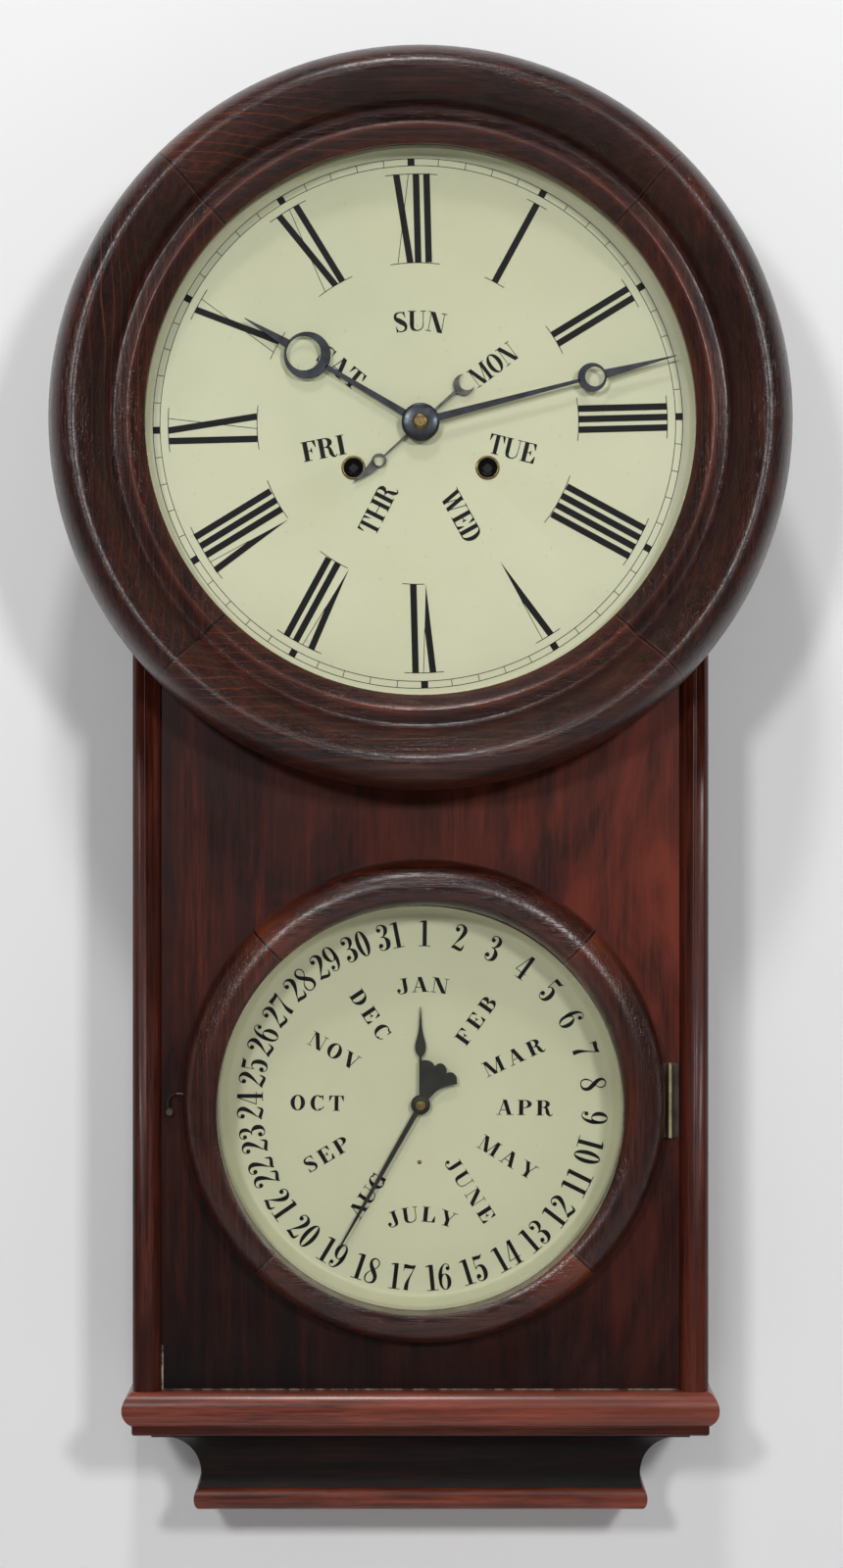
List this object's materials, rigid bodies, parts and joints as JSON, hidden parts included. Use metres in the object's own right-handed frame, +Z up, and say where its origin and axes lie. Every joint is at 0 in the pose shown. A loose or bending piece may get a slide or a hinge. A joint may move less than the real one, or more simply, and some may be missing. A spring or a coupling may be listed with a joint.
{
  "type": "wall calendar clock",
  "caption": "Round-head wall clock in a long wooden case: striking spring movement behind a glazed turned ring, with a glazed calendar dial below.",
  "frame": {"origin": "centre of the hanging hole, at the clock's back face", "axes": "+Z up, +X to the viewer's right as seen from the front, +Y into the wall"},
  "size_m": [0.4072, 0.134, 0.8135],
  "materials": {
    "red_wood": "old polished varnish",
    "plain_wood": "plain, darkened",
    "brass": "dull aged brass",
    "dial_paint": "aged off-white paint",
    "black_steel": "blued, nearly black",
    "glass": "clear",
    "steel": "dull",
    "iron": "blued coil on a black iron foot"
  },
  "bodies": {
    "case": {"backboard": "plain_wood", "side_boards": "red_wood", "stile_beads": "red_wood", "top_board": "plain_wood", "front_panel": "red_wood", "dial_surround": "red_wood", "base_moulding": "red_wood", "base_fillet": "red_wood", "base_cove": "red_wood", "base_foot": "red_wood", "hanger_plate": "steel", "fasteners": "brass", "case_fittings": "brass", "time_dial": "dial_paint", "dial_grommets": "brass", "movement_battens": "plain_wood", "back_plate": "brass", "front_plate": "brass", "gong": "iron", "calendar_dial": "dial_paint", "calendar_plate": "brass"},
    "head_door": {"head_door_ring": "red_wood", "head_glass": "glass", "head_glass_bead": "plain_wood", "head_door_fittings": "brass"},
    "head_hook": {"head_hook": "steel"},
    "calendar_door": {"calendar_door_ring": "red_wood", "calendar_glass": "glass", "calendar_glass_bead": "plain_wood", "calendar_door_fittings": "brass"},
    "calendar_hook": {"calendar_hook": "steel"},
    "centre": {"centre_wheel": "brass", "minute_hand": "black_steel", "minute_collet": "brass"},
    "hour": {"hour_wheel": "brass", "hour_hand": "black_steel"},
    "minute": {"minute_wheel": "brass"},
    "trip": {"trip_wheel": "brass"},
    "day": {"day_wheel": "brass", "day_hand": "black_steel"},
    "time_great": {"time_great_wheel": "brass"},
    "time_winding": {"time_winding_arbor": "steel"},
    "time_second": {"time_second_wheel": "brass"},
    "third": {"third_wheel": "brass"},
    "escape": {"escape_wheel": "brass"},
    "strike_great": {"strike_great_wheel": "brass"},
    "strike_winding": {"strike_winding_arbor": "steel"},
    "strike_second": {"strike_second_wheel": "brass"},
    "pin": {"pin_wheel": "brass"},
    "warning": {"warning_wheel": "brass"},
    "fly_body": {"fly": "brass"},
    "hammer_body": {"hammer": "steel"},
    "verge_body": {"verge": "steel"},
    "pendulum": {"pendulum_rod": "steel", "pendulum_bob": "brass"},
    "trip_rod_body": {"trip_rod": "brass"},
    "date": {"date_wheel": "brass", "date_hand": "black_steel"},
    "month": {"month_wheel": "brass", "month_hand": "black_steel"}
  },
  "joints": [
    {"name": "head_door_hinge", "type": "hinge", "parent": "case", "child": "head_door", "pos_m": [0.2008, -0.09, -0.084], "axis": [0, 0, 1], "range_deg": [0, 110]},
    {"name": "head_hook_pivot", "type": "hinge", "parent": "case", "child": "head_hook", "pos_m": [-0.1998, -0.084, -0.076], "axis": [-1, 0, 0], "range_deg": [-12, 60]},
    {"name": "calendar_door_hinge", "type": "hinge", "parent": "case", "child": "calendar_door", "pos_m": [0.1384, -0.084, -0.4598], "axis": [0, 0, 1], "range_deg": [0, 98]},
    {"name": "calendar_hook_pivot", "type": "hinge", "parent": "case", "child": "calendar_hook", "pos_m": [-0.1392, -0.0835, -0.466], "axis": [0, -1, 0], "range_deg": [-8, 35]},
    {"name": "centre_spin", "type": "hinge", "parent": "case", "child": "centre", "pos_m": [0, -0.06, -0.084], "axis": [0, 1, 0], "continuous": true},
    {"name": "hour_spin", "type": "hinge", "parent": "case", "child": "hour", "pos_m": [0, -0.075, -0.084], "axis": [0, 1, 0], "continuous": true},
    {"name": "minute_wheel_spin", "type": "hinge", "parent": "case", "child": "minute", "pos_m": [0, -0.067, -0.099], "axis": [0, 1, 0], "continuous": true},
    {"name": "trip_spin", "type": "hinge", "parent": "case", "child": "trip", "pos_m": [0.01691, -0.073, -0.07784], "axis": [0, 1, 0], "continuous": true},
    {"name": "day_spin", "type": "hinge", "parent": "case", "child": "day", "pos_m": [0, -0.078, -0.084], "axis": [0, 1, 0], "continuous": true},
    {"name": "time_great_spin", "type": "hinge", "parent": "case", "child": "time_great", "pos_m": [0.0372, -0.045, -0.1087], "axis": [0, 1, 0], "continuous": true},
    {"name": "time_winding_spin", "type": "hinge", "parent": "case", "child": "time_winding", "pos_m": [0.0372, -0.06, -0.1087], "axis": [0, 1, 0], "continuous": true},
    {"name": "time_second_spin", "type": "hinge", "parent": "case", "child": "time_second", "pos_m": [0.02367, -0.048, -0.07534], "axis": [0, 1, 0], "continuous": true},
    {"name": "third_spin", "type": "hinge", "parent": "case", "child": "third", "pos_m": [-0.01214, -0.048, -0.06329], "axis": [0, 1, 0], "continuous": true},
    {"name": "escape_spin", "type": "hinge", "parent": "case", "child": "escape", "pos_m": [0, -0.048, -0.05], "axis": [0, 1, 0], "continuous": true},
    {"name": "strike_great_spin", "type": "hinge", "parent": "case", "child": "strike_great", "pos_m": [-0.0372, -0.045, -0.1087], "axis": [0, 1, 0], "continuous": true},
    {"name": "strike_winding_spin", "type": "hinge", "parent": "case", "child": "strike_winding", "pos_m": [-0.0372, -0.06, -0.1087], "axis": [0, 1, 0], "continuous": true},
    {"name": "strike_second_spin", "type": "hinge", "parent": "case", "child": "strike_second", "pos_m": [-0.04034, -0.048, -0.07284], "axis": [0, 1, 0], "continuous": true},
    {"name": "pin_spin", "type": "hinge", "parent": "case", "child": "pin", "pos_m": [-0.03475, -0.048, -0.05197], "axis": [0, 1, 0], "continuous": true},
    {"name": "warning_spin", "type": "hinge", "parent": "case", "child": "warning", "pos_m": [-0.01995, -0.048, -0.04659], "axis": [0, 1, 0], "continuous": true},
    {"name": "fly_spin", "type": "hinge", "parent": "case", "child": "fly_body", "pos_m": [-0.01995, -0.048, -0.03309], "axis": [0, 1, 0], "continuous": true},
    {"name": "hammer_swing", "type": "hinge", "parent": "case", "child": "hammer_body", "pos_m": [-0.058, -0.044, -0.05], "axis": [0, -1, 0], "range_deg": [0, 10], "stiffness_Nm_per_rad": 0.002, "springref_deg": -5.73},
    {"name": "verge_swing", "type": "hinge", "parent": "case", "child": "verge_body", "pos_m": [0, -0.044, -0.0325], "axis": [0, 1, 0], "range_deg": [-3.5, 3.5]},
    {"name": "pendulum_swing", "type": "hinge", "parent": "case", "child": "pendulum", "pos_m": [0, -0.022, -0.0325], "axis": [0, 1, 0], "range_deg": [-3.5, 3.5]},
    {"name": "trip_rod_slide", "type": "slide", "parent": "case", "child": "trip_rod_body", "axis": [0, 0, 1], "range_m": [0, 0.008]},
    {"name": "date_spin", "type": "hinge", "parent": "case", "child": "date", "pos_m": [0, -0.055, -0.464], "axis": [0, 1, 0], "continuous": true},
    {"name": "month_spin", "type": "hinge", "parent": "case", "child": "month", "pos_m": [0, -0.06, -0.464], "axis": [0, 1, 0], "continuous": true}
  ],
  "couplings": [
    {"joint": "time_second_spin", "follows": "centre_spin", "ratio": -0.33333},
    {"joint": "time_great_spin", "follows": "centre_spin", "ratio": 0.037037},
    {"joint": "third_spin", "follows": "centre_spin", "ratio": -9},
    {"joint": "escape_spin", "follows": "centre_spin", "ratio": 72},
    {"joint": "minute_wheel_spin", "follows": "centre_spin", "ratio": -0.33333},
    {"joint": "hour_spin", "follows": "centre_spin", "ratio": 0.083333},
    {"joint": "trip_spin", "follows": "centre_spin", "ratio": -0.041667},
    {"joint": "strike_second_spin", "follows": "pin_spin", "ratio": -0.125},
    {"joint": "strike_great_spin", "follows": "pin_spin", "ratio": 0.013889},
    {"joint": "warning_spin", "follows": "pin_spin", "ratio": -8},
    {"joint": "fly_spin", "follows": "pin_spin", "ratio": 64},
    {"joint": "verge_swing", "follows": "pendulum_swing", "ratio": 1}
  ]
}
